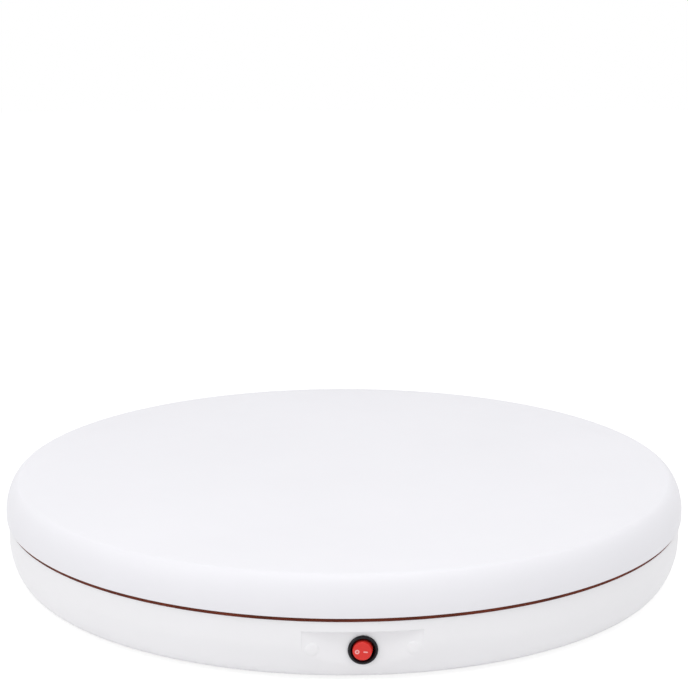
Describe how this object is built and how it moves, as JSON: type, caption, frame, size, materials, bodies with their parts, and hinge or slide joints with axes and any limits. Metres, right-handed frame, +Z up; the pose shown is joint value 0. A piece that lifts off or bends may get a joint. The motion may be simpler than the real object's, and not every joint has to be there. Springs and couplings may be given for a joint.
{
  "type": "motorised photography turntable",
  "caption": "Low round motorised display turntable: white platter with a rounded edge turning on a white base that has a round rocker switch in front and a power socket behind.",
  "frame": {"origin": "on the surface the feet stand on, on the platter's axis", "axes": "+Z up along the platter's axis, -Y to the front where the rocker switch is, +Y to the back where the power socket is"},
  "size_m": [0.6, 0.6, 0.0834],
  "materials": {
    "white_abs": "satin white moulded plastic",
    "brown_seal": "dark brown felt-like ring",
    "black_plastic": "satin black",
    "red_plastic": "translucent-looking red",
    "foot_rubber": "matt",
    "steel": "turned and ground",
    "brass": "turned",
    "nylon": "natural",
    "circuit_board": "solder mask",
    "lead_insulation": "smooth"
  },
  "bodies": {
    "base": {"base_shell": "white_abs", "bracket_screw_1": "steel", "bracket_screw_2": "steel", "capacitor": "black_plastic", "control_board": "circuit_board", "foot_1": "foot_rubber", "foot_2": "foot_rubber", "foot_3": "foot_rubber", "foot_4": "foot_rubber", "foot_5": "foot_rubber", "foot_6": "foot_rubber", "gearbox": "steel", "jack_housing": "black_plastic", "jack_nut": "steel", "jack_pin": "steel", "lamp_lead": "lead_insulation", "led_ring": "nylon", "lower_race": "steel", "motor_bracket": "steel", "motor_can": "steel", "motor_driver_chip": "black_plastic", "motor_lead": "lead_insulation", "motor_post_1": "brass", "motor_post_2": "brass", "panel_plug_left": "white_abs", "panel_plug_right": "white_abs", "radio_receiver": "circuit_board", "roller_axle_1": "steel", "roller_axle_2": "steel", "roller_axle_3": "steel", "roller_axle_4": "steel", "roller_fork_1": "black_plastic", "roller_fork_2": "black_plastic", "roller_fork_3": "black_plastic", "roller_fork_4": "black_plastic", "seam_seal": "brown_seal", "spindle": "steel", "supply_lead": "lead_insulation", "switch_housing": "black_plastic", "switch_terminal_load": "brass", "switch_terminal_supply": "brass", "switched_lead": "lead_insulation", "terminal_block": "nylon"},
    "platter": {"platter_shell": "white_abs", "platter_gear": "nylon", "gear_screw_1": "steel", "gear_screw_2": "steel", "gear_screw_3": "steel", "spindle_bush": "brass", "upper_race": "steel"},
    "bearing_cage": {"ball_cage": "brass"},
    "pinion": {"drive_pinion": "brass", "output_shaft": "steel"},
    "support_roller_1": {"roller_1": "nylon"},
    "support_roller_2": {"roller_2": "nylon"},
    "support_roller_3": {"roller_3": "nylon"},
    "support_roller_4": {"roller_4": "nylon"},
    "rocker": {"switch_rocker": "red_plastic"}
  },
  "joints": [
    {"name": "platter_spin", "type": "hinge", "parent": "base", "child": "platter", "pos_m": [0, 0, 0.0664], "axis": [0, 0, 1], "continuous": true},
    {"name": "cage_spin", "type": "hinge", "parent": "base", "child": "bearing_cage", "pos_m": [0, 0, 0.0536], "axis": [0, 0, 1], "continuous": true},
    {"name": "pinion_spin", "type": "hinge", "parent": "base", "child": "pinion", "pos_m": [0.09, 0, 0.0651], "axis": [0, 0, 1], "continuous": true},
    {"name": "roller_1_spin", "type": "hinge", "parent": "base", "child": "support_roller_1", "pos_m": [0.16617, 0.16617, 0.0612], "axis": [0.7071, 0.7071, 0], "continuous": true},
    {"name": "roller_2_spin", "type": "hinge", "parent": "base", "child": "support_roller_2", "pos_m": [-0.16617, 0.16617, 0.0612], "axis": [-0.7071, 0.7071, 0], "continuous": true},
    {"name": "roller_3_spin", "type": "hinge", "parent": "base", "child": "support_roller_3", "pos_m": [-0.16617, -0.16617, 0.0612], "axis": [-0.7071, -0.7071, 0], "continuous": true},
    {"name": "roller_4_spin", "type": "hinge", "parent": "base", "child": "support_roller_4", "pos_m": [0.16617, -0.16617, 0.0612], "axis": [0.7071, -0.7071, 0], "continuous": true},
    {"name": "rocker_tip", "type": "hinge", "parent": "base", "child": "rocker", "pos_m": [0, -0.2916, 0.0263], "axis": [0, 0, 1], "range_deg": [0, 14]}
  ],
  "couplings": [
    {"joint": "cage_spin", "follows": "platter_spin", "ratio": 0.5},
    {"joint": "pinion_spin", "follows": "platter_spin", "ratio": -4},
    {"joint": "roller_1_spin", "follows": "platter_spin", "ratio": -15.667},
    {"joint": "roller_2_spin", "follows": "platter_spin", "ratio": -15.667},
    {"joint": "roller_3_spin", "follows": "platter_spin", "ratio": -15.667},
    {"joint": "roller_4_spin", "follows": "platter_spin", "ratio": -15.667}
  ]
}
